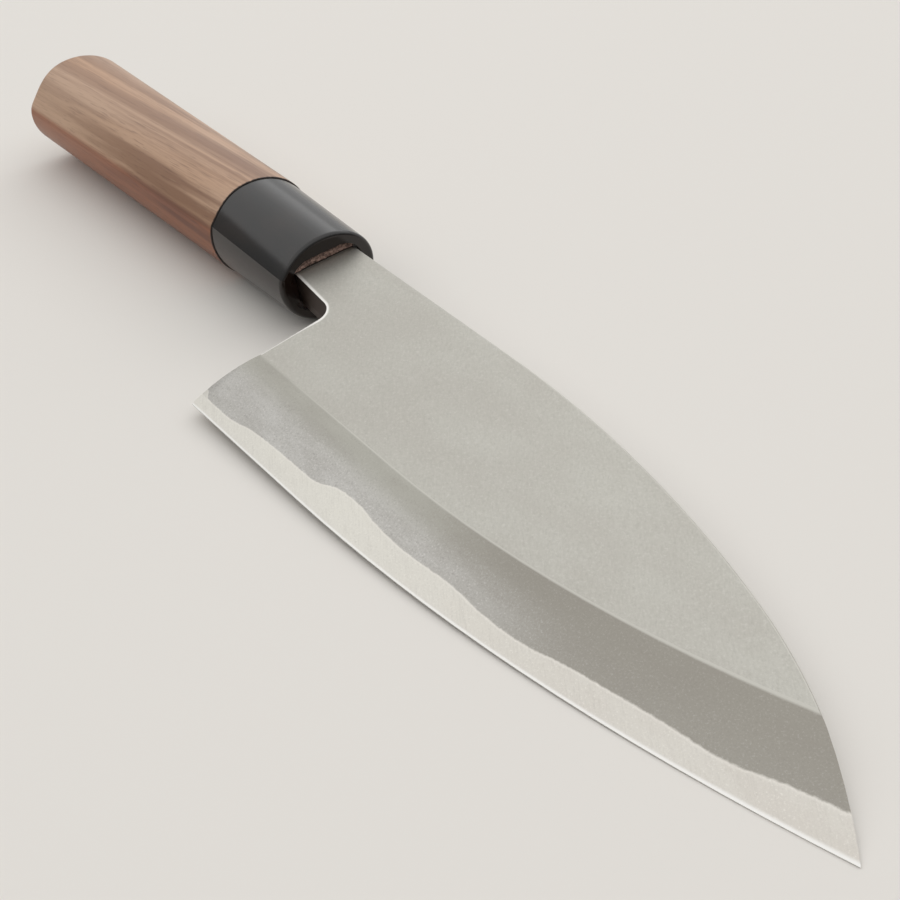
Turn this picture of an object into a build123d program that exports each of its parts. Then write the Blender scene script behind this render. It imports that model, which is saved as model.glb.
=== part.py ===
"""A right-handed deba: a thick single-bevel kitchen knife with a forge-welded
blade and a D-shaped wooden handle, lying on its flat left side.

All lengths are in millimetres. The knife has its own plane, at the middle of the
ferrule's front: x runs towards the tip, y towards the spine and z towards the
bevelled right side.
"""

from build123d import *
from math import atan2, cos, degrees, radians, sin
import os

# Driving dimensions of the handle
HANDLE_LENGTH = 128.0
FERRULE_LENGTH = 30.5
BUTT_WIDTH = 29.0
BUTT_HEIGHT = 23.8
SHOULDER_WIDTH = 27.0
SHOULDER_HEIGHT = 23.4
FERRULE_FRONT_WIDTH = 24.4
FERRULE_FRONT_HEIGHT = 19.8
WOOD_STANDS_PROUD = 0.3

# Driving dimensions of the oval tenon, which is also the ferrule's bore
TENON_WIDTH = 18.8
TENON_HEIGHT = 12.6
TENON_CORNER = 5.6
MOUTH_DEPTH = 1.3

# Driving dimensions of the blade
BLADE_LENGTH = 163.5
BLADE_HEIGHT = 51.3
SPINE_RISE = 8.2
SPINE_THICKNESS = 7.2
POINT_THICKNESS = 3.6
BEVEL_WIDTH = 15.3
EDGE_LAND = 0.25
NECK_LENGTH = 14.5
NECK_HEIGHT = 15.3
NECK_FLARE = 1.8
NOTCH_RADIUS = 5.0
HEEL_HOLLOW = 4.4

# Driving dimensions of the hard steel and of the hollow ground in it
STEEL_THICKNESS = 1.8
HOLLOW_RIM = 2.8
HOLLOW_SLOPE = 9.0
HOLLOW_DEPTH = 0.5

# Driving dimensions of the tang and of the resin that beds it
TANG_LENGTH = 74.0
TANG_HEIGHT = 10.5
TANG_THICKNESS = 4.6
TANG_END_HEIGHT = 6.4
TANG_END_THICKNESS = 3.0
BEDDING = 0.6
SEAL_THICKNESS = 1.2

# Roundings and the one overrun of everything that cuts
BUTT_ROUNDING = 2.0
RIDGE_ROUNDING = 5.0
SHOULDER_ROUNDING = 0.25
FERRULE_ROUNDING = 1.0
SPINE_ROUNDING = 0.4
OVERRUN = 4.0

# How the knife lies on its side, in degrees: on its shoulder and on the edge behind its tip
NOSE_DOWN = 1.5
LEAN = 5.8

knife = Plane(origin=(0, 0, 0)).rotated((LEAN, NOSE_DOWN, 0))
blade_reach = NECK_LENGTH + BLADE_LENGTH
flat_side = knife.offset(-SPINE_THICKNESS / 2)
along_knife = Axis(knife.origin, knife.x_dir)
away_from_spine = Axis(knife.origin, -knife.y_dir)


def across(reach):
    """The plane square to the handle at a reach, with its x to the spine and its y to the right side."""
    return Plane(origin=knife.from_local_coords((reach, 0, 0)), x_dir=knife.y_dir, z_dir=knife.x_dir)


# The handle's D section is an oval with one soft ridge on its edge side, as shares of half its width and height
butt_ridge_shares = (-0.94, 0.27)
shoulder_ridge_shares = (-0.84, 0.44)
ferrule_ridge_shares = (-0.92, 0.42)
ABOVE_RIDGE_ANGLE = 228
BELOW_RIDGE_ANGLE = 250


def handle_section(reach, width, height, ridge_shares):
    """The D section, of a full width and height, at a reach."""
    half_width = width / 2
    half_height = height / 2
    ridge = (ridge_shares[0] * half_width, ridge_shares[1] * half_height)
    above = (cos(radians(ABOVE_RIDGE_ANGLE)), sin(radians(ABOVE_RIDGE_ANGLE)))
    below = (cos(radians(BELOW_RIDGE_ANGLE)), sin(radians(BELOW_RIDGE_ANGLE)))
    with BuildSketch(across(reach)) as section:
        with BuildLine():
            EllipticalCenterArc((0, 0), half_width, half_height, start_angle=-90, arc_size=180)
            Spline((0, half_height), ridge, tangents=((-1, 0), above))
            Spline(ridge, (0, -half_height), tangents=(below, (1, 0)))
        make_face()
    return section.sketch


def tang_sections(growth):
    """The tapered tang's two ends, grown all round by a growth."""
    with BuildSketch(across(-MOUTH_DEPTH)) as root:
        Rectangle(TANG_HEIGHT + 2 * growth, TANG_THICKNESS + 2 * growth)
    with BuildSketch(across(-MOUTH_DEPTH - TANG_LENGTH - growth)) as end:
        Rectangle(TANG_END_HEIGHT + 2 * growth, TANG_END_THICKNESS + 2 * growth)
    return [root.sketch, end.sketch]


# Tang space: the slot in the wood, with the tang and its bedding in it
with BuildPart() as tang_core:
    loft(tang_sections(0), ruled=True)

with BuildPart() as tang_slot:
    loft(tang_sections(BEDDING), ruled=True)

# Handle: the wooden grip, with its tenon and the tang's slot
with BuildPart() as handle:
    butt = handle_section(-HANDLE_LENGTH, BUTT_WIDTH, BUTT_HEIGHT, butt_ridge_shares)
    shoulder = handle_section(-FERRULE_LENGTH, SHOULDER_WIDTH, SHOULDER_HEIGHT, shoulder_ridge_shares)
    loft([butt, shoulder], ruled=True)
    fillet(handle.edges().sort_by(away_from_spine)[-1], radius=RIDGE_ROUNDING)
    fillet(handle.faces().sort_by(along_knife)[0].edges(), radius=BUTT_ROUNDING)
    fillet(handle.faces().sort_by(along_knife)[-1].edges(), radius=SHOULDER_ROUNDING)
    with BuildSketch(across(-FERRULE_LENGTH)):
        RectangleRounded(TENON_WIDTH, TENON_HEIGHT, TENON_CORNER)
    extrude(amount=FERRULE_LENGTH - MOUTH_DEPTH - SEAL_THICKNESS)
    add(tang_slot.part, mode=Mode.SUBTRACT)

# Ferrule: the black collar around the tenon
with BuildPart() as ferrule:
    back_width = SHOULDER_WIDTH - 2 * WOOD_STANDS_PROUD
    back_height = SHOULDER_HEIGHT - 2 * WOOD_STANDS_PROUD
    back = handle_section(-FERRULE_LENGTH, back_width, back_height, shoulder_ridge_shares)
    front = handle_section(0, FERRULE_FRONT_WIDTH, FERRULE_FRONT_HEIGHT, ferrule_ridge_shares)
    loft([back, front], ruled=True)
    fillet(ferrule.faces().sort_by(along_knife)[-1].edges(), radius=FERRULE_ROUNDING)
    with BuildSketch(across(0)):
        RectangleRounded(TENON_WIDTH, TENON_HEIGHT, TENON_CORNER)
    extrude(amount=-FERRULE_LENGTH, mode=Mode.SUBTRACT)

# Bedding: the resin around the tang, which also seals the ferrule's mouth
with BuildPart() as tang_bedding:
    with BuildSketch(across(-MOUTH_DEPTH)):
        RectangleRounded(TENON_WIDTH, TENON_HEIGHT, TENON_CORNER)
    extrude(amount=-SEAL_THICKNESS)
    add(tang_slot.part)
    add(tang_core.part, mode=Mode.SUBTRACT)

# The blade's outline, as shares of its length from the heel and of its height from the spine
straight_share = 0.25
spine_bend_shares = (0.737, 0.232)
tip_shares = (1, 0.682)
edge_height = SPINE_RISE - BLADE_HEIGHT


def from_heel(length_share, drop_share):
    """A point of the blade, as shares of its length and height."""
    return (NECK_LENGTH + length_share * BLADE_LENGTH, SPINE_RISE - drop_share * BLADE_HEIGHT)


# The heel line leans in from the spine to the ridge, and curves back from there to the heel's corner
spine_start = (NECK_LENGTH, SPINE_RISE)
heel_bend = (NECK_LENGTH + HEEL_HOLLOW, edge_height + BEVEL_WIDTH)

# Profile: the blade from heel line to tip, seen from its right side
with BuildSketch() as profile:
    spine_straight_end = from_heel(straight_share, 0)
    edge_start = (NECK_LENGTH, edge_height)
    edge_straight_end = from_heel(straight_share, 1)
    bend = from_heel(*spine_bend_shares)
    tip = from_heel(*tip_shares)
    with BuildLine():
        Line(edge_straight_end, edge_start)
        TangentArc(edge_start, heel_bend, tangent=(0, 1))
        Polyline(heel_bend, spine_start, spine_straight_end)
        falling = TangentArc(spine_straight_end, bend, tangent=(1, 0))
        TangentArc(bend, tip, tangent=falling % 1)
        TangentArc(edge_straight_end, tip, tangent=(1, 0))
    make_face()

# Neck profile: from the mouth's seal to the heel line, with the notch rounded into the heel
with BuildSketch() as blade_and_neck:
    add(profile.sketch)
    notch_height = SPINE_RISE - NECK_HEIGHT - NECK_FLARE
    notch_share = (SPINE_RISE - notch_height) / (SPINE_RISE - heel_bend[1])
    notch = (NECK_LENGTH + notch_share * HEEL_HOLLOW, notch_height)
    with BuildLine():
        Polyline(
            (-MOUTH_DEPTH, SPINE_RISE),
            spine_start,
            notch,
            (-MOUTH_DEPTH, SPINE_RISE - NECK_HEIGHT),
            close=True,
        )
    make_face()
    fillet(blade_and_neck.vertices().sort_by_distance(notch)[0], radius=NOTCH_RADIUS)

# The right cheek is a plane that thins the blade towards its point
taper = degrees(atan2(SPINE_THICKNESS - POINT_THICKNESS, blade_reach))
cheek = knife.offset(SPINE_THICKNESS / 2).rotated((0, taper, 0))

# The ridge between cheek and bevel runs straight and then bends up to the spine
ridge_straight_share = 0.315
ridge_end_shares = (0.864, 0.407)


def beyond_line(plane, straight_end, end):
    """All that lies beyond a line that runs straight, then bends up to an end and leaves straight on."""
    past_length = BLADE_HEIGHT
    back = -OVERRUN
    low = edge_height - BLADE_HEIGHT
    with BuildSketch(plane) as outside:
        with BuildLine():
            bend_up = TangentArc(straight_end, end, tangent=(1, 0))
            leaving = bend_up % 1
            past = (end[0] + past_length * leaving.X, end[1] + past_length * leaving.Y)
            Polyline(end, past, (past[0], low), (back, low), (back, straight_end[1]), straight_end)
        make_face()
    return outside.sketch


def runs_along_spine(edge):
    """Whether an edge lies above the line from the mouth to the tip and runs along the spine."""
    start = knife.to_local_coords(edge @ 0)
    middle = knife.to_local_coords(edge @ 0.5)
    above = middle.Y > middle.X * tip[1] / tip[0]
    return above and abs(middle.X - start.X) > SPINE_ROUNDING


# Bevel waste: what is ground away between the cheek's ridge and the edge
with BuildPart() as bevel_waste:
    ridge_straight_end = (from_heel(ridge_straight_share, 0)[0], edge_height + BEVEL_WIDTH)
    beyond_edge = beyond_line(flat_side.offset(EDGE_LAND), edge_straight_end, tip)
    beyond_ridge = beyond_line(cheek, ridge_straight_end, from_heel(*ridge_end_shares))
    loft([beyond_edge, beyond_ridge], ruled=True)

# Hollow: the shallow dish ground into the flat side, so that only its rim touches a stone
with BuildPart() as hollow:
    with BuildSketch(flat_side) as rim:
        add(profile.sketch)
        offset(amount=-HOLLOW_RIM, kind=Kind.INTERSECTION, mode=Mode.REPLACE)
    with BuildSketch(flat_side.offset(HOLLOW_DEPTH)) as floor:
        add(profile.sketch)
        offset(amount=-HOLLOW_RIM - HOLLOW_SLOPE, kind=Kind.INTERSECTION, mode=Mode.REPLACE)
    loft([rim.sketch, floor.sketch], ruled=True)

# Blank: the whole ground blade and neck, before it is told apart into its two metals
with BuildPart() as blank:
    with BuildSketch(flat_side):
        add(blade_and_neck.sketch)
    extrude(amount=SPINE_THICKNESS + OVERRUN)
    split(bisect_by=cheek, keep=Keep.BOTTOM)
    fillet(blank.edges().filter_by(runs_along_spine), radius=SPINE_ROUNDING)
    add(bevel_waste.part, mode=Mode.SUBTRACT)
    add(hollow.part, mode=Mode.SUBTRACT)

# The weld between steel and iron waves along the blade, in even steps from heel to tip
heel_weld_shares = (0.80, 0.75, 1.00, 1.05, 1.05, 1.45, 1.25, 1.10, 1.10)
tip_weld_shares = (0.90, 0.80, 0.90, 0.90, 0.85, 0.75, 0.85, 0.85, 0.80)
weld_shares = heel_weld_shares + tip_weld_shares

# Weld layer: all that lies on the steel's side of the weld
with BuildPart() as weld_layer:
    side_view = Plane(origin=flat_side.origin, x_dir=knife.x_dir, z_dir=-knife.y_dir)
    with BuildSketch(side_view.offset(-SPINE_RISE - OVERRUN)):
        step = (BLADE_LENGTH + OVERRUN) / (len(weld_shares) - 1)
        weld = [(NECK_LENGTH + i * step, share * STEEL_THICKNESS) for i, share in enumerate(weld_shares)]
        far_end = NECK_LENGTH + BLADE_LENGTH + OVERRUN
        with BuildLine():
            Spline(*weld)
            Polyline(weld[-1], (far_end, -OVERRUN), (NECK_LENGTH, -OVERRUN), weld[0])
        make_face()
    extrude(amount=BLADE_HEIGHT + 2 * OVERRUN)

# Edge steel: the hard plate on the flat side, which comes out at the bevel as the bright edge
with BuildPart() as edge_steel:
    add(blank.part)
    add(weld_layer.part, mode=Mode.INTERSECT)

# Blade body: the soft iron that clads the steel, with the neck and the tang
with BuildPart() as blade_body:
    add(blank.part)
    add(weld_layer.part, mode=Mode.SUBTRACT)
    add(tang_core.part)

# Stand: puts the knife on the floor, with the middle of its box over the origin
pieces = {
    "edge_steel": edge_steel,
    "blade_body": blade_body,
    "tang_bedding": tang_bedding,
    "handle": handle,
    "ferrule": ferrule,
}
box = Compound([piece.part for piece in pieces.values()]).bounding_box()
stand = Location((-box.center().X, -box.center().Y, -box.min.Z))

os.makedirs("parts", exist_ok=True)
for name, piece in pieces.items():
    piece.part.move(stand)
    piece.part.label = name
    export_step(piece.part, "parts/" + name + ".step")
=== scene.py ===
"""The deba knife with its materials, on a plain pale floor, seen from the photograph's angle.

All of the knife's own sizes are in millimetres of its own plane, at the middle of the
ferrule's front: x runs towards the tip, y towards the spine and z towards the bevelled side.
"""

import bmesh
import bpy
from math import radians
from mathutils import Euler, Matrix, Vector, noise


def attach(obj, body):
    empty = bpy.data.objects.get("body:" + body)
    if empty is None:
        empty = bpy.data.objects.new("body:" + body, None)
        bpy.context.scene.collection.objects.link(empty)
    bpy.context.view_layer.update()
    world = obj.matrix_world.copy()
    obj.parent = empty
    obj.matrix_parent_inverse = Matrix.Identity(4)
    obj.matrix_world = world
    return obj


MILLIMETRE = 0.001

# How the knife lies: its plane's place, its lean about x and its nose-down turn about y
KNIFE_ORIGIN = Vector((-24.800, 14.190, 10.927))
LEAN = 5.8
NOSE_DOWN = 1.5

# The camera in millimetres of the frame, with its turns in degrees
CAMERA_PLACE = Vector((246.923, -136.512, 173.866))
CAMERA_TURNS = (55.746, 3.115, 54.457)
CAMERA_LENS = 63.94
CAMERA_SENSOR = 36.0

# The studio in metres, its lamp's power in watts
NEAREST_SEEN = 0.01
FARTHEST_SEEN = 20.0
FLOOR_HALF = 3.0
CEILING_PLACE = (-1.0, 0.4, 1.5)
CEILING_SIDE = 5.0
CEILING_POWER = 64.0
WALL_DIRECTION = (-0.35, 0.93, -0.05)

# Sizes of the knife that the materials and the mouth's fill follow
FERRULE_LENGTH = 30.5
NECK_LENGTH = 14.5
BLADE_LENGTH = 163.5
BLADE_HEIGHT = 51.3
SPINE_RISE = 8.2
NECK_HEIGHT = 15.3
NECK_FLARE = 1.8
NOTCH_REACH = 3.9
HEEL_HOLLOW = 4.4
BEVEL_WIDTH = 15.3
SPINE_THICKNESS = 7.2
POINT_THICKNESS = 3.6
STEEL_THICKNESS = 1.8
MOUTH_DEPTH = 1.3
MOUTH_WIDTH = 18.8
MOUTH_HEIGHT = 12.6

# The weld's heights above the flat side, as shares of the steel's thickness, in even steps from the
# heel to a little past the tip, and the highest share that its curve can hold
heel_weld_shares = (0.80, 0.75, 1.00, 1.05, 1.05, 1.45, 1.25, 1.10, 1.10)
tip_weld_shares = (0.90, 0.80, 0.90, 0.90, 0.85, 0.75, 0.85, 0.85, 0.80)
weld_shares = heel_weld_shares + tip_weld_shares
curve_top_share = 2
WELD_PAST_TIP = 4.0

turn = Matrix.Rotation(radians(LEAN), 3, "X") @ Matrix.Rotation(radians(NOSE_DOWN), 3, "Y")
knife = Matrix.Translation(KNIFE_ORIGIN * MILLIMETRE) @ turn.to_4x4() @ Matrix.Scale(MILLIMETRE, 4)


def srgb(red, green, blue):
    """A colour as read off a screen, from 0 to 255, as the linear colour that nodes take."""
    linear = []
    for part in (red, green, blue):
        share = part / 255
        linear.append(share / 12.92 if share <= 0.04045 else ((share + 0.055) / 1.055) ** 2.4)
    return (*linear, 1.0)


class Nodes:
    """A node tree under construction: its nodes are made and linked by short calls."""

    def __init__(self, tree):
        self.tree = tree

    def node(self, kind, inputs=None, **settings):
        """A new node with its settings made and its inputs set, or linked where an input is a socket."""
        made = self.tree.nodes.new(kind)
        for name, value in settings.items():
            setattr(made, name, value)
        for name, value in (inputs or {}).items():
            self.put(made.inputs[name], value)
        return made

    def put(self, socket, value):
        """Sets a socket to a value, or links it to another socket."""
        if isinstance(value, bpy.types.NodeSocket):
            self.tree.links.new(value, socket)
        else:
            socket.default_value = value

    def parts(self, vector):
        """A vector's x, y and z."""
        split = self.node("ShaderNodeSeparateXYZ", {"Vector": vector})
        return split.outputs["X"], split.outputs["Y"], split.outputs["Z"]

    def math(self, operation, first, second=0.0, third=0.0, clamp=False):
        """One sum."""
        made = self.node("ShaderNodeMath", operation=operation, use_clamp=clamp)
        for socket, value in zip(made.inputs, (first, second, third)):
            self.put(socket, value)
        return made.outputs["Value"]

    def ramp(self, value, low, high, start=0.0, end=1.0):
        """Turns a range of values smoothly into another one, held at its ends."""
        inputs = {"Value": value, "From Min": low, "From Max": high, "To Min": start, "To Max": end}
        made = self.node("ShaderNodeMapRange", inputs, interpolation_type="SMOOTHSTEP")
        return made.outputs["Result"]

    def mix(self, share, first, second, blend="MIX"):
        """Two colours mixed by a share."""
        made = self.node("ShaderNodeMix", {"Factor": share}, data_type="RGBA", blend_type=blend)
        sockets = {socket.identifier: socket for socket in made.inputs}
        self.put(sockets["A_Color"], first)
        self.put(sockets["B_Color"], second)
        return [socket for socket in made.outputs if socket.identifier == "Result_Color"][0]


class Finish(Nodes):
    """A material under construction, in the knife's own millimetres."""

    def __init__(self, name):
        self.material = bpy.data.materials.new(name)
        self.material.use_nodes = True
        super().__init__(self.material.node_tree)
        self.shader = self.tree.nodes["Principled BSDF"]

    def shade(self, **values):
        """Sets or links inputs of the shader, their names in lower case with underscores."""
        for name, value in values.items():
            self.put(self.shader.inputs[name.replace("_", " ").title().replace("Ior", "IOR")], value)

    def knife_place(self):
        """The place on the knife, in millimetres of its own plane."""
        where = self.node("ShaderNodeTexCoord").outputs["Object"]
        place = self.node("ShaderNodeMapping", {"Vector": where}, vector_type="TEXTURE")
        place.inputs["Location"].default_value = KNIFE_ORIGIN * MILLIMETRE
        place.inputs["Rotation"].default_value = turn.to_euler("XYZ")
        place.inputs["Scale"].default_value = (MILLIMETRE, MILLIMETRE, MILLIMETRE)
        return place.outputs["Vector"]

    def knife_normal(self):
        """The surface's direction along the knife's own axes."""
        facing = self.node("ShaderNodeTexCoord").outputs["Normal"]
        turned = self.node("ShaderNodeMapping", {"Vector": facing}, vector_type="TEXTURE")
        turned.inputs["Rotation"].default_value = turn.to_euler("XYZ")
        return turned.outputs["Vector"]

    def grain(self, vector, rates, angle=0, detail=3.0, roughness=0.5, distortion=0.0, shift=(0, 0, 0)):
        """Noise along a direction in the knife's plane, with its rates along, across and through."""
        turned = self.node("ShaderNodeMapping", {"Vector": vector}, vector_type="TEXTURE")
        turned.inputs["Rotation"].default_value = (0.0, 0.0, radians(angle))
        sized = self.node("ShaderNodeVectorMath", operation="MULTIPLY")
        self.put(sized.inputs[0], turned.outputs["Vector"])
        sized.inputs[1].default_value = rates
        moved = self.node("ShaderNodeVectorMath", operation="ADD")
        self.put(moved.inputs[0], sized.outputs["Vector"])
        moved.inputs[1].default_value = shift
        inputs = {
            "Vector": moved.outputs["Vector"],
            "Scale": 1.0,
            "Detail": detail,
            "Roughness": roughness,
            "Distortion": distortion,
        }
        return self.node("ShaderNodeTexNoise", inputs).outputs["Fac"]

    def bump(self, height, distance, strength=1.0):
        """A bumped normal, its height in millimetres."""
        inputs = {"Height": height, "Distance": distance * MILLIMETRE, "Strength": strength}
        return self.node("ShaderNodeBump", inputs).outputs["Normal"]


def weld_height(finish, x):
    """How high the weld lies above the flat side, in millimetres, along the blade."""
    weld_reach = BLADE_LENGTH + WELD_PAST_TIP
    reach = finish.math("DIVIDE", finish.math("SUBTRACT", x, NECK_LENGTH), weld_reach, clamp=True)
    curve = finish.node("ShaderNodeFloatCurve", {"Value": reach})
    line = curve.mapping.curves[0]
    last = len(weld_shares) - 1
    for i in range(1, last):
        line.points.new(i / last, weld_shares[i] / curve_top_share)
    line.points[0].location = (0, weld_shares[0] / curve_top_share)
    line.points[-1].location = (1, weld_shares[-1] / curve_top_share)
    curve.mapping.update()
    return finish.math("MULTIPLY", curve.outputs["Value"], curve_top_share * STEEL_THICKNESS)


# Where the bevel's looks change along the blade, in millimetres
STEEL_FLARE_ENDS = (15.2, 17.0)
HEEL_TONE = (15.0, 70.0)
MIDDLE_TONE = (70.0, 106.0)
HAZE_FADES = (84.0, 128.0)
RIDGE_HIGHLIGHT_GROWS = (20.0, 60.0)
STEEL_DULLS = (60.0, 150.0)

# Depths below the ridge, heights above the edge and distances from the weld, in millimetres
HAZE_DEPTHS = (0.7, 3.0)
RIDGE_HIGHLIGHT_DEPTHS = (0.05, 0.16)
HONED_HIGHLIGHT_HEIGHTS = (0.3, 0.45)
STEEL_FLARE = 0.5
WELD_RAGGEDNESS = 0.03
WELD_GLOW = 0.18
WELD_BLUR = 0.06


def bevel_iron(finish, x, below_ridge, grit, cloud):
    """The iron above the weld: hazy and speckled near the heel, plain and darker towards the tip, with a
    painted highlight along the ridge.
    """
    iron = finish.mix(finish.ramp(x, *HEEL_TONE), srgb(180, 178, 169), srgb(176, 174, 165))
    iron = finish.mix(finish.ramp(x, *MIDDLE_TONE), iron, srgb(153, 149, 140))
    near_heel = finish.ramp(x, *HAZE_FADES, 1.0, 0.1)
    haze = finish.math("MULTIPLY", finish.ramp(below_ridge, *HAZE_DEPTHS), near_heel)
    iron = finish.mix(finish.math("MULTIPLY", haze, 0.8), iron, srgb(196, 194, 190))
    iron = finish.mix(finish.ramp(cloud, 0.35, 0.7, 0.0, 0.3), iron, srgb(150, 145, 137))

    speckled = finish.math("MULTIPLY_ADD", haze, 0.46, 0.15)
    speckles = finish.math("MULTIPLY", finish.ramp(grit, 0.54, 0.68), speckled)
    iron = finish.mix(speckles, iron, srgb(216, 213, 210))
    pitted = finish.math("MULTIPLY_ADD", haze, 0.2, 0.25)
    pits = finish.math("MULTIPLY", finish.ramp(grit, 0.32, 0.46, 1.0, 0.0), pitted)
    iron = finish.mix(pits, iron, srgb(132, 127, 122))

    # Painted highlight: a light line on the bevel just below the ridge, standing in for light caught by the
    # ridge.
    near_ridge = finish.ramp(below_ridge, *RIDGE_HIGHLIGHT_DEPTHS, 0.75, 0.0)
    ridge_highlight = finish.math("MULTIPLY", near_ridge, finish.ramp(x, *RIDGE_HIGHLIGHT_GROWS, 0.4, 1.0))
    return finish.mix(ridge_highlight, iron, srgb(204, 202, 194))


def bevel_steel(finish, x, height, above_weld, grit, cloud, scratches):
    """The steel below the weld: bright, finely scratched, and brightest at the weld, with a painted
    highlight along the honed edge.
    """
    steel = finish.mix(finish.ramp(x, *STEEL_DULLS), srgb(217, 214, 205), srgb(204, 199, 191))
    steel = finish.mix(finish.ramp(cloud, 0.35, 0.7, 0.0, 0.5), steel, srgb(212, 209, 201))
    steel = finish.mix(finish.ramp(scratches, 0.45, 0.8, 0.0, 0.4), steel, srgb(188, 184, 176))
    steel = finish.mix(finish.ramp(grit, 0.54, 0.7, 0.0, 0.4), steel, srgb(236, 233, 226))
    steel = finish.mix(finish.ramp(grit, 0.3, 0.46, 0.3, 0.0), steel, srgb(180, 175, 167))
    steel = finish.mix(finish.ramp(above_weld, -WELD_GLOW, 0.0, 0.0, 0.35), steel, srgb(236, 231, 224))
    # Painted highlight: a bright band just above the cutting edge, where the honed edge would catch the
    # light.
    return finish.mix(finish.ramp(height, *HONED_HIGHLIGHT_HEIGHTS, 0.8, 0.0), steel, srgb(238, 237, 234))


def ground_bevel(finish, place):
    """The bevel's colour, how much of it is steel, and its fine lines."""
    x, z = finish.parts(place)[::2]
    height = finish.math("ADD", z, SPINE_THICKNESS / 2)
    taper = (SPINE_THICKNESS - POINT_THICKNESS) / (NECK_LENGTH + BLADE_LENGTH)
    full = finish.math("MULTIPLY_ADD", x, -taper, SPINE_THICKNESS)
    below_ridge = finish.math("SUBTRACT", full, height)
    above_weld = finish.math("SUBTRACT", height, weld_height(finish, x))
    above_weld = finish.math("SUBTRACT", above_weld, finish.ramp(x, *STEEL_FLARE_ENDS, STEEL_FLARE, 0.0))
    ragged = finish.grain(place, (0.9, 0.9, 0.9), detail=4.0, roughness=0.65)
    teeth = finish.ramp(ragged, 0.25, 0.75, -WELD_RAGGEDNESS, WELD_RAGGEDNESS)
    above_weld = finish.math("ADD", above_weld, teeth)

    grit = finish.grain(place, (2.6, 2.6, 2.6), detail=3.0, roughness=0.8)
    cloud = finish.grain(place, (0.07, 0.2, 0.4), detail=3.0, roughness=0.55)
    scratches = finish.grain(place, (0.2, 3.2, 0.6), angle=147, detail=4.0, roughness=0.7)
    iron = bevel_iron(finish, x, below_ridge, grit, cloud)
    steel = bevel_steel(finish, x, height, above_weld, grit, cloud, scratches)

    steelness = finish.ramp(above_weld, -WELD_BLUR, WELD_BLUR, 1.0, 0.0)
    lines = finish.math("ADD", scratches, finish.math("MULTIPLY", grit, 0.5))
    return finish.mix(steelness, iron, steel), steelness, lines


# Painted highlight along the rounded-off edges of the neck, the notch and the heel line, in millimetres: it
# widens from the heel line up to the notch
EASED_HIGHLIGHT_WIDENS = (-20.0, -9.0)
EASED_HIGHLIGHT_WIDTHS = (0.35, 1.0)


def eased_edge_highlight(finish, x, y):
    """How near a place is to the neck's lower edge, the notch and the heel line, whose edges are rounded
    off: the mask of the painted highlight along them.
    """
    neck_slope = NECK_FLARE / (NECK_LENGTH + MOUTH_DEPTH)
    heel_slope = HEEL_HOLLOW / (BLADE_HEIGHT - BEVEL_WIDTH)
    above_neck = finish.math("ADD", finish.math("MULTIPLY_ADD", x, neck_slope, y), NECK_HEIGHT - SPINE_RISE)
    above_neck = finish.math("ADD", above_neck, neck_slope * MOUTH_DEPTH)
    past_heel = finish.math("ADD", finish.math("MULTIPLY_ADD", y, heel_slope, x), -NECK_LENGTH)
    past_heel = finish.math("ADD", past_heel, -heel_slope * SPINE_RISE)
    along = finish.math("MAXIMUM", finish.math("ADD", past_heel, NOTCH_REACH), 0.0)
    up = finish.math("MAXIMUM", finish.math("ADD", above_neck, NOTCH_REACH), 0.0)
    corner = finish.node("ShaderNodeCombineXYZ", {"X": along, "Y": up})
    length = finish.node("ShaderNodeVectorMath", {"Vector": corner.outputs["Vector"]}, operation="LENGTH")
    away = finish.math("SUBTRACT", length.outputs["Value"], NOTCH_REACH)
    width = finish.ramp(y, *EASED_HIGHLIGHT_WIDENS, *EASED_HIGHLIGHT_WIDTHS)
    return finish.ramp(finish.math("DIVIDE", away, width), 0.5, 1.0, 1.0, 0.0)


# Fine sizes and places of the two metals, in millimetres
GROUND_BUMP = 0.02
UNDER_NECK_ENDS = (15.0, 18.0)
HOLLOW_STARTS = (0.01, 0.04)


def iron_finish():
    """Soft iron: a plainly ground cheek, and a bevel with a cloudy, darker iron above the weld."""
    iron = Finish("soft_iron")
    place = iron.knife_place()
    x, y = iron.parts(place)[:2]
    facing_y, facing_z = iron.parts(iron.knife_normal())[1:]

    fine = iron.grain(place, (0.7, 2.6, 1.0), angle=142, detail=4.0, roughness=0.75)
    cloud = iron.grain(place, (0.05, 0.09, 0.09), detail=4.0)
    grit = iron.grain(place, (1.7, 1.7, 1.7), detail=3.0, roughness=0.8)
    cheek = iron.mix(iron.ramp(cloud, 0.3, 0.7), srgb(187, 185, 177), srgb(182, 179, 171))
    cheek = iron.mix(iron.ramp(fine, 0.35, 0.75, 0.0, 0.4), cheek, srgb(164, 161, 153))
    cheek = iron.mix(iron.ramp(grit, 0.52, 0.7, 0.0, 0.35), cheek, srgb(206, 204, 198))
    cheek = iron.mix(iron.ramp(grit, 0.3, 0.46, 0.25, 0.0), cheek, srgb(150, 148, 141))
    # Painted highlight: the rounded-off edges of the neck, the notch and the heel line are painted light,
    # as if catching the light.
    eased_highlight = iron.mix(iron.ramp(y, *EASED_HIGHLIGHT_WIDENS), srgb(214, 212, 206), srgb(236, 234, 229))
    cheek = iron.mix(eased_edge_highlight(iron, x, y), cheek, eased_highlight)

    bevel, steelness = ground_bevel(iron, place)[:2]
    colour = iron.mix(iron.ramp(facing_z, 0.988, 0.996, 1.0, 0.0), cheek, bevel)
    # Painted shade and dark reflection: the neck's underside, before the heel, is painted dark brown-grey.
    before_heel = iron.ramp(x, *UNDER_NECK_ENDS, 1.0, 0.0)
    under_neck_shade = iron.math("MULTIPLY", iron.ramp(facing_y, -0.7, -0.3, 1.0, 0.0), before_heel)
    colour = iron.mix(under_neck_shade, colour, srgb(66, 54, 48))
    rough = iron.math("MULTIPLY_ADD", steelness, -0.08, 0.5)
    ground = iron.bump(fine, GROUND_BUMP, 0.2)
    iron.shade(base_color=colour, roughness=rough, metallic=0.85, normal=ground)
    return iron.material


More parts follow.
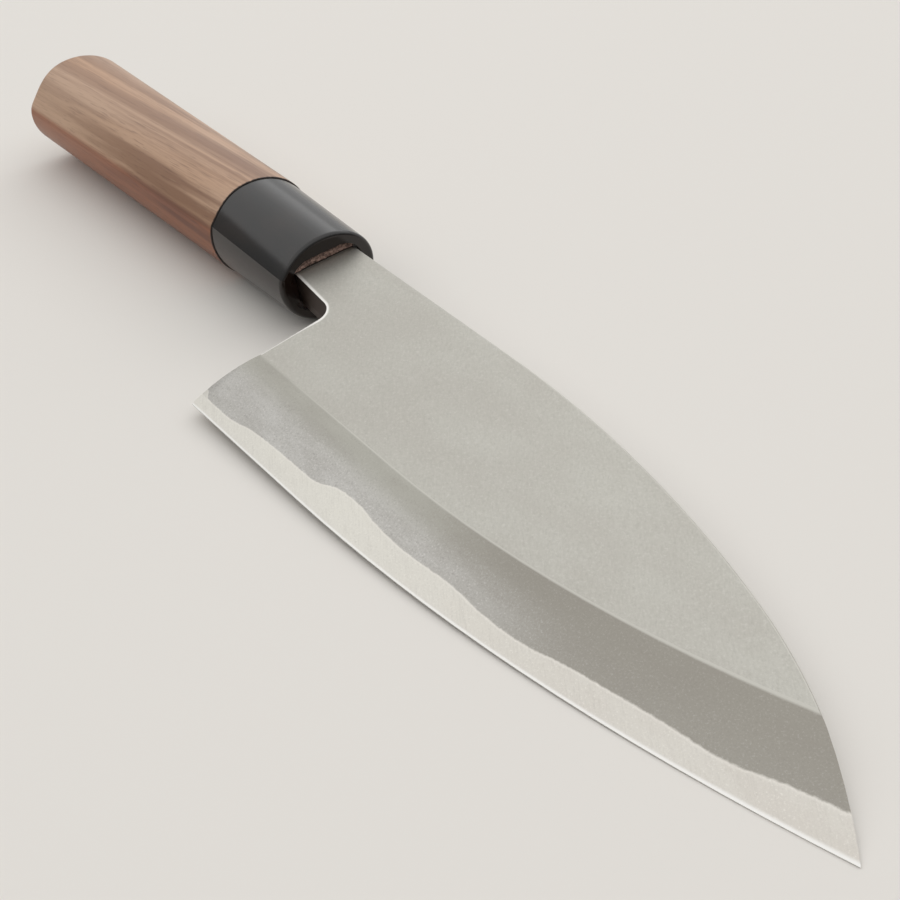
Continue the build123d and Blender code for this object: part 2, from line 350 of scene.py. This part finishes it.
def steel_finish():
    """Hard steel: bright at the bevel, with a polished rim and a satin hollow on the flat side."""
    steel = Finish("hard_steel")
    place = steel.knife_place()
    z = steel.parts(place)[2]
    facing_z = steel.parts(steel.knife_normal())[2]

    swirls = steel.grain(place, (0.05, 3.0, 1.0), angle=8, detail=4.0, roughness=0.7)
    hollow = steel.mix(steel.ramp(swirls, 0.3, 0.75), srgb(196, 191, 183), srgb(170, 165, 158))
    above_flat = steel.math("ADD", z, SPINE_THICKNESS / 2)
    flat = steel.mix(steel.ramp(above_flat, *HOLLOW_STARTS), srgb(226, 223, 218), hollow)
    flat = steel.mix(steel.ramp(facing_z, -0.5, -0.4), flat, srgb(222, 221, 218))

    bevel, steelness, lines = ground_bevel(steel, place)
    colour = steel.mix(steel.ramp(facing_z, 0.5, 0.6), flat, bevel)
    rough = steel.math("MULTIPLY_ADD", steelness, -0.08, 0.5)
    ground = steel.bump(lines, GROUND_BUMP, 0.2)
    steel.shade(base_color=colour, roughness=rough, metallic=0.85, normal=ground)
    return steel.material


# How high the resin's lumps and the collar's waves stand, in millimetres
RESIN_LUMPS = 0.3
COLLAR_WAVES = 0.05


def resin_finish():
    """Seal resin: dark brown, glossy and uneven."""
    resin = Finish("seal_resin")
    lumps = resin.grain(resin.knife_place(), (0.5, 0.5, 0.5), detail=3.0)
    colour = resin.mix(resin.ramp(lumps, 0.35, 0.7), srgb(26, 17, 15), srgb(48, 30, 24))
    resin.shade(base_color=colour, roughness=0.22, normal=resin.bump(lumps, RESIN_LUMPS, 0.6))
    return resin.material


def collar_finish():
    """Black collar: polished black, with a breath of brown below its ridge that is a painted warm
    reflection.
    """
    collar = Finish("black_collar")
    place = collar.knife_place()
    facing_z = collar.parts(collar.knife_normal())[2]
    cloud = collar.grain(place, (0.06, 0.18, 0.18), detail=3.0)
    waves = collar.grain(place, (0.04, 0.2, 0.2), detail=2.0)
    colour = collar.mix(collar.ramp(cloud, 0.4, 0.75), srgb(33, 32, 31), srgb(43, 38, 35))
    # Painted reflection: below the ridge the black turns dark brown, as if reflecting a warm surface
    # beneath.
    colour = collar.mix(collar.ramp(facing_z, 0.2, 0.45, 0.8, 0.0), colour, srgb(26, 14, 8))
    collar.shade(base_color=colour, roughness=0.18, normal=collar.bump(waves, COLLAR_WAVES, 0.3))
    collar.shade(ior=1.5, specular_ior_level=0.5)
    return collar.material


# Places along and across the grip, sizes of its joint with the collar and of its grain, in millimetres
BANDS_DEEPEN = (-120.0, -FERRULE_LENGTH)
PALE_BUTT_ENDS = (-120.0, -70.0)
PALE_BUTT_TOP = (-10.0, 0.0)
JOINT_LINE = (-0.32, -0.12)
JOINT_TEETH = 0.12
FIBRE_BUMP = 0.05
GRAIN_ANGLE = 3.5


def wood_finish():
    """Grip wood: warm taupe with long soft bands, fine streaks and short pores along the grain."""
    wood = Finish("grip_wood")
    place = wood.knife_place()
    x, y = wood.parts(place)[:2]
    facing_x, facing_y, facing_z = wood.parts(wood.knife_normal())
    tone = wood.grain(place, (0.008, 0.1, 0.1), angle=5.5, detail=2.0)
    bands = wood.grain(place, (0.0025, 0.26, 0.26), angle=GRAIN_ANGLE, distortion=0.1)
    streaks = wood.grain(place, (0.009, 1.4, 1.4), angle=GRAIN_ANGLE, detail=4.0, roughness=0.65)
    pores = wood.grain(place, (0.1, 3.6, 3.6), angle=GRAIN_ANGLE, detail=2.0, shift=(3.0, 1.0, 7.0))

    colour = wood.mix(wood.ramp(tone, 0.35, 0.65), srgb(190, 157, 131), srgb(188, 150, 120))
    banded = wood.math("MULTIPLY", wood.ramp(bands, 0.42, 0.6), wood.ramp(x, *BANDS_DEEPEN, 0.55, 0.95))
    colour = wood.mix(banded, colour, srgb(136, 101, 78))
    colour = wood.mix(wood.ramp(streaks, 0.42, 0.72, 0.0, 0.4), colour, srgb(140, 106, 82))
    colour = wood.mix(wood.ramp(streaks, 0.25, 0.42, 0.2, 0.0), colour, srgb(208, 180, 154))
    colour = wood.mix(wood.ramp(pores, 0.56, 0.7, 0.0, 0.45), colour, srgb(112, 82, 66))
    # Painted light: the grip near the butt, on its edge side, is painted lighter, as if lit by a fill lamp
    # from that side.
    near_butt = wood.ramp(x, *PALE_BUTT_ENDS, 0.3, 0.0)
    painted_butt_light = wood.math("MULTIPLY", near_butt, wood.ramp(y, *PALE_BUTT_TOP, 1.0, 0.0))
    colour = wood.mix(painted_butt_light, colour, srgb(214, 184, 160))
    # Painted sheen: faces towards the spine are painted lighter, as if catching light from that side.
    colour = wood.mix(wood.ramp(facing_y, 0.45, 0.95, 0.0, 0.3), colour, srgb(206, 180, 158))

    # Painted shade and warm reflection: faces below the ridge on the edge side are multiplied darker and
    # redder.
    edge_side = wood.ramp(facing_y, -0.4, 0.0, 1.0, 0.0)
    below = wood.math("MULTIPLY", wood.ramp(facing_z, 0.3, 0.6, 1.0, 0.0), edge_side)
    shaded_redder = wood.mix(1.0, colour, srgb(200, 150, 118), blend="MULTIPLY")
    colour = wood.mix(below, colour, shaded_redder)
    end_grain = wood.ramp(facing_x, -0.9, -0.6, 0.45, 0.0)
    colour = wood.mix(end_grain, colour, srgb(120, 88, 68))

    from_joint = wood.math("ADD", x, FERRULE_LENGTH)
    from_joint = wood.math("ADD", from_joint, wood.ramp(streaks, 0.3, 0.7, -JOINT_TEETH, JOINT_TEETH))
    colour = wood.mix(wood.ramp(from_joint, *JOINT_LINE), colour, srgb(44, 32, 27))
    fibre = wood.math("ADD", streaks, pores)
    wood.shade(base_color=colour, roughness=0.4, normal=wood.bump(fibre, FIBRE_BUMP, 0.35))
    return wood.material


# The rough fill in the mouth, in millimetres: how far it lies from the mouth's edges and how lumpy it is
FILL_FRONT = -0.35
FILL_SINK = 0.2
FILL_SIDE_GAP = 0.5
FILL_TOP_GAP = 0.15
FILL_BOTTOM_GAP = 0.12
FILL_BUMP = 0.4
FILL_COLUMNS = 96
FILL_ROWS = 16
LUMP_RATE = 0.9
lump_share = 0.55


def rough_fill_finish():
    """The rough fill at the mouth: granular and pinkish brown."""
    fill = Finish("rough_fill")
    grains = fill.grain(fill.knife_place(), (1.6, 1.6, 1.6), detail=4.0, roughness=0.7)
    colour = fill.mix(fill.ramp(grains, 0.35, 0.65), srgb(110, 86, 78), srgb(190, 158, 144))
    fill.shade(base_color=colour, roughness=0.6, normal=fill.bump(grains, FILL_BUMP, 0.8))
    return fill.material


def mouth_fill():
    """The rough strip of fill that stands in the mouth, between the neck's top and the ferrule's rim."""
    back = -MOUTH_DEPTH - FILL_SINK
    half_width = MOUTH_WIDTH / 2 - FILL_SIDE_GAP
    top = MOUTH_HEIGHT / 2 - FILL_TOP_GAP
    bottom = SPINE_THICKNESS / 2 + FILL_BOTTOM_GAP
    mesh = bmesh.new()
    grid = []
    for row in range(FILL_ROWS + 1):
        line = []
        for column in range(FILL_COLUMNS + 1):
            across = 2 * column / FILL_COLUMNS - 1
            up = row / FILL_ROWS
            rise = top - (top - bottom) * abs(across) ** 5
            place = Vector((0, across * half_width, bottom + (rise - bottom) * up))
            lump = noise.fractal(place * LUMP_RATE, 1.0, 2.2, 4)
            inside = min(1, 4 * up, 4 * (1 - up)) * min(1, 6 * (1 - abs(across)))
            place.x = back + (FILL_FRONT - back) * inside * lump_share * (1 + lump)
            line.append(mesh.verts.new(knife @ place))
        grid.append(line)
    for low, high in zip(grid, grid[1:]):
        for a, b, c, d in zip(low, low[1:], high[1:], high):
            mesh.faces.new((a, b, c, d))
    data = bpy.data.meshes.new("mouth_fill")
    mesh.to_mesh(data)
    mesh.free()
    data.polygons.foreach_set("use_smooth", [True] * len(data.polygons))
    data.materials.append(rough_fill_finish())
    piece = bpy.data.objects.new("mouth_fill", data)
    bpy.context.scene.collection.objects.link(piece)
    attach(piece, "root")


def dress(node, material):
    """Gives a carried-over piece its material."""
    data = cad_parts[node].data
    data.materials.clear()
    data.materials.append(material)


def make_camera():
    """The camera at the photograph's viewpoint."""
    data = bpy.data.cameras.new("camera")
    data.sensor_width = CAMERA_SENSOR
    data.lens = CAMERA_LENS
    data.clip_start = NEAREST_SEEN
    data.clip_end = FARTHEST_SEEN
    camera = bpy.data.objects.new("camera", data)
    camera.location = CAMERA_PLACE * MILLIMETRE
    camera.rotation_euler = Euler([radians(angle) for angle in CAMERA_TURNS], "XYZ")
    bpy.context.scene.collection.objects.link(camera)
    bpy.context.scene.camera = camera


def make_ceiling():
    """The large soft lamp above the knife, which looks straight down."""
    data = bpy.data.lights.new("ceiling", "AREA")
    data.shape = "RECTANGLE"
    data.size = CEILING_SIDE
    data.size_y = CEILING_SIDE
    data.energy = CEILING_POWER
    lamp = bpy.data.objects.new("ceiling", data)
    lamp.location = CEILING_PLACE
    bpy.context.scene.collection.objects.link(lamp)


def make_floor():
    """A plain pale floor, which keeps the knife's shadow."""
    low, high = -FLOOR_HALF, FLOOR_HALF
    data = bpy.data.meshes.new("floor")
    data.from_pydata([(low, low, 0), (high, low, 0), (high, high, 0), (low, high, 0)], [], [(0, 1, 2, 3)])
    floor = bpy.data.objects.new("floor", data)
    bpy.context.scene.collection.objects.link(floor)
    plaster = Finish("floor")
    plaster.shade(base_color=srgb(226, 222, 216), roughness=0.9)
    data.materials.append(plaster.material)


def make_world():
    """A pale dome above a dark horizon and a bright wall on the spine's side, all pale to the camera."""
    world = bpy.data.worlds.new("studio")
    world.use_nodes = True
    sky = Nodes(world.node_tree)
    towards = sky.node("ShaderNodeTexCoord").outputs["Generated"]
    dome = sky.ramp(sky.parts(towards)[2], 0.12, 0.36, 0.08, 0.34)
    facing_wall = sky.node("ShaderNodeVectorMath", operation="DOT_PRODUCT")
    sky.put(facing_wall.inputs[0], towards)
    facing_wall.inputs[1].default_value = WALL_DIRECTION
    wall = sky.ramp(facing_wall.outputs["Value"], 0.5, 0.9, 0.0, 0.75)
    light = sky.math("MINIMUM", sky.math("ADD", dome, wall), 0.9)
    seen = sky.node("ShaderNodeLightPath").outputs["Is Camera Ray"]
    back = sky.tree.nodes["Background"]
    back.inputs["Color"].default_value = (1.0, 1.0, 1.0, 1.0)
    sky.put(back.inputs["Strength"], sky.math("MAXIMUM", light, sky.math("MULTIPLY", seen, 0.8)))
    bpy.context.scene.world = world


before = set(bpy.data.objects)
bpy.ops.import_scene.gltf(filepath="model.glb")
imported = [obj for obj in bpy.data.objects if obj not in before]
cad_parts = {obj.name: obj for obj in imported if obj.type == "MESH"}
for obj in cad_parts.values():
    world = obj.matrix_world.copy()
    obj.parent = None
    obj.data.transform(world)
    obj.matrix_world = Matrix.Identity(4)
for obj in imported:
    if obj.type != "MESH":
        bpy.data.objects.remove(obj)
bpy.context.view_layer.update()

dress("blade_body", iron_finish())
dress("edge_steel", steel_finish())
dress("tang_bedding", resin_finish())
dress("ferrule", collar_finish())
dress("handle", wood_finish())
mouth_fill()

make_camera()
make_floor()
make_world()
make_ceiling()
bpy.context.scene.view_settings.view_transform = "Standard"
